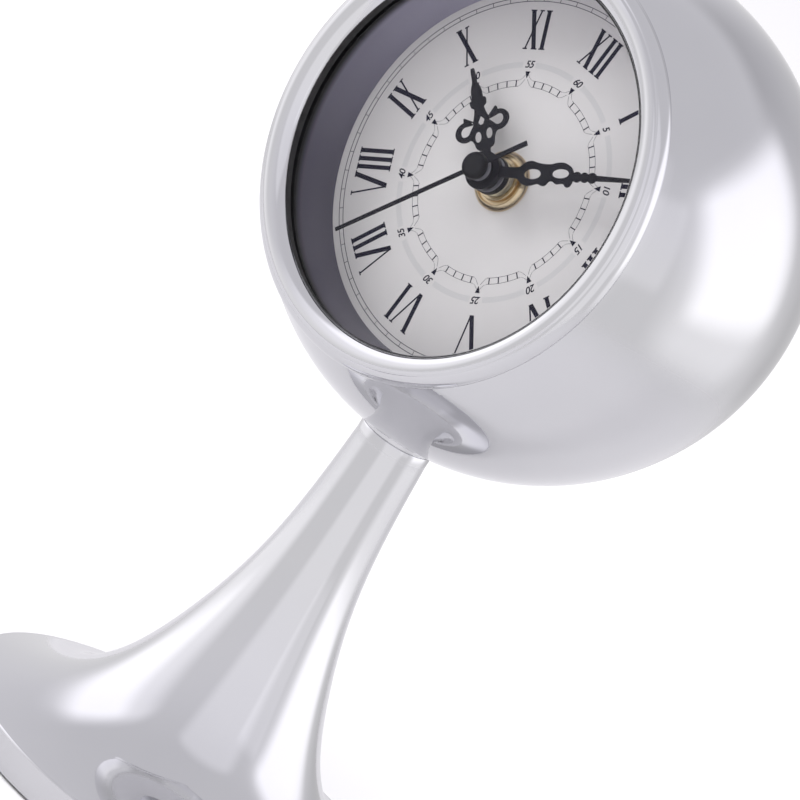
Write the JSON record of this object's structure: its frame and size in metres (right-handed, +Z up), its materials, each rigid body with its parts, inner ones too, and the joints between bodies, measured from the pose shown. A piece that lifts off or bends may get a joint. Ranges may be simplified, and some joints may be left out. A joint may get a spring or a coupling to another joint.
{
  "type": "table clock",
  "caption": "Polished ball head with a round dial, fretwork hands and a quartz movement inside, standing on a trumpet-shaped weighted base.",
  "frame": {"origin": "on the table, at the centre of the underside of the felt pad", "axes": "+Z up, +X towards III on the dial, the dial faces -Y and leans back 7.1 degrees"},
  "size_m": [0.1216, 0.1085, 0.2232],
  "materials": {
    "chrome_stand": "mirror-polished chrome plate on spun steel",
    "chrome_ball": "mirror-polished chrome plate on pressed steel",
    "chrome_bezel": "mirror-polished chrome plate on a rolled ring",
    "cast_iron": "rough casting",
    "zinc_steel": "zinc-plated steel",
    "spring_steel": "bright rolled steel",
    "soft_iron": "stamped soft iron",
    "felt": "pressed wool felt",
    "black_plastic": "fine-grained moulded plastic",
    "movement_plastic": "moulded plastic",
    "yellow_plastic": "moulded bearing plastic",
    "white_nylon": "moulded nylon",
    "black_rubber": "soft rubber",
    "glass": "flat clear glass",
    "grey_ring": "dark grey satin paint",
    "dial_face": "off-white matt lacquer with black print",
    "dial_backing": "plain sheet",
    "thread_brass": "cut brass thread",
    "nut_brass": "turned brass",
    "copper_wire": "enamelled copper winding",
    "green_board": "printed circuit board",
    "battery_jacket": "plain dark jacket",
    "hand_black": "satin black paint",
    "cap_black": "satin black",
    "magnet": "sintered magnet"
  },
  "bodies": {
    "clock": {"pedestal": "chrome_stand", "ball_shell": "chrome_ball", "bezel": "chrome_bezel", "base_weight": "cast_iron", "base_plate": "zinc_steel", "felt_pad": "felt", "tie_rod": "zinc_steel", "base_washer": "zinc_steel", "base_nut": "zinc_steel", "seat_ring": "chrome_stand", "ball_washer": "zinc_steel", "ball_nut": "zinc_steel", "glass": "glass", "gasket": "black_rubber", "inner_ring": "grey_ring", "retaining_ring": "spring_steel", "dial": "dial_face", "dial_backing": "dial_backing", "dial_screws": "zinc_steel", "rubber_washer": "black_rubber", "movement_case": "movement_plastic", "case_back": "movement_plastic", "mid_plate": "yellow_plastic", "threaded_bush": "thread_brass", "dial_nut": "nut_brass", "stator": "soft_iron", "coil_core": "soft_iron", "coil": "copper_wire", "circuit_board": "green_board", "quartz_crystal": "spring_steel", "battery": "battery_jacket", "battery_contacts": "spring_steel"},
    "minute": {"minute_hand": "hand_black", "minute_arbor": "thread_brass", "clutch_spring": "spring_steel"},
    "hour": {"hour_hand": "hand_black", "hour_wheel": "white_nylon"},
    "seconds": {"seconds_hand": "hand_black", "hand_cap": "cap_black", "seconds_wheel": "white_nylon"},
    "centre": {"centre_wheel": "white_nylon"},
    "third": {"third_wheel": "white_nylon"},
    "intermediate": {"intermediate_wheel": "white_nylon"},
    "rotor": {"rotor": "magnet"},
    "motion": {"motion_wheel": "white_nylon"},
    "setting": {"setting_knob": "white_nylon"},
    "cover": {"rear_cover": "black_plastic"}
  },
  "joints": [
    {"name": "minute_turn", "type": "hinge", "parent": "clock", "child": "minute", "pos_m": [0, -0.00843, 0.16345], "axis": [0, 0.9923, -0.1236], "continuous": true},
    {"name": "hour_turn", "type": "hinge", "parent": "clock", "child": "hour", "pos_m": [0, -0.00843, 0.16345], "axis": [0, 0.9923, -0.1236], "continuous": true},
    {"name": "motion_wheel_turn", "type": "hinge", "parent": "clock", "child": "motion", "pos_m": [0.006, -0.00715, 0.17376], "axis": [0, 0.9923, -0.1236], "continuous": true},
    {"name": "setting_knob_turn", "type": "hinge", "parent": "clock", "child": "setting", "pos_m": [0.01639, -0.00641, 0.17972], "axis": [0, 0.9923, -0.1236], "continuous": true},
    {"name": "seconds_turn", "type": "hinge", "parent": "clock", "child": "seconds", "pos_m": [0, -0.00843, 0.16345], "axis": [0, 0.9923, -0.1236], "continuous": true},
    {"name": "third_wheel_turn", "type": "hinge", "parent": "clock", "child": "third", "pos_m": [-0.01224, -0.00843, 0.16345], "axis": [0, 0.9923, -0.1236], "continuous": true},
    {"name": "centre_wheel_turn", "type": "hinge", "parent": "clock", "child": "centre", "pos_m": [0, -0.00843, 0.16345], "axis": [0, 0.9923, -0.1236], "continuous": true},
    {"name": "intermediate_wheel_turn", "type": "hinge", "parent": "clock", "child": "intermediate", "pos_m": [0.00677, -0.00813, 0.16589], "axis": [0, 0.9923, -0.1236], "continuous": true},
    {"name": "rotor_turn", "type": "hinge", "parent": "clock", "child": "rotor", "pos_m": [0.00971, -0.0075, 0.17095], "axis": [0, 0.9923, -0.1236], "continuous": true},
    {"name": "rear_cover_pull", "type": "slide", "parent": "clock", "child": "cover", "axis": [0, 0.9923, -0.1236], "range_m": [0, 0.02]}
  ],
  "couplings": [
    {"joint": "hour_turn", "follows": "minute_turn", "ratio": 0.083333},
    {"joint": "motion_wheel_turn", "follows": "minute_turn", "ratio": -0.33333},
    {"joint": "setting_knob_turn", "follows": "minute_turn", "ratio": 1},
    {"joint": "third_wheel_turn", "follows": "seconds_turn", "ratio": -0.13333},
    {"joint": "centre_wheel_turn", "follows": "seconds_turn", "ratio": 0.016667},
    {"joint": "intermediate_wheel_turn", "follows": "seconds_turn", "ratio": -5},
    {"joint": "rotor_turn", "follows": "seconds_turn", "ratio": 30}
  ]
}
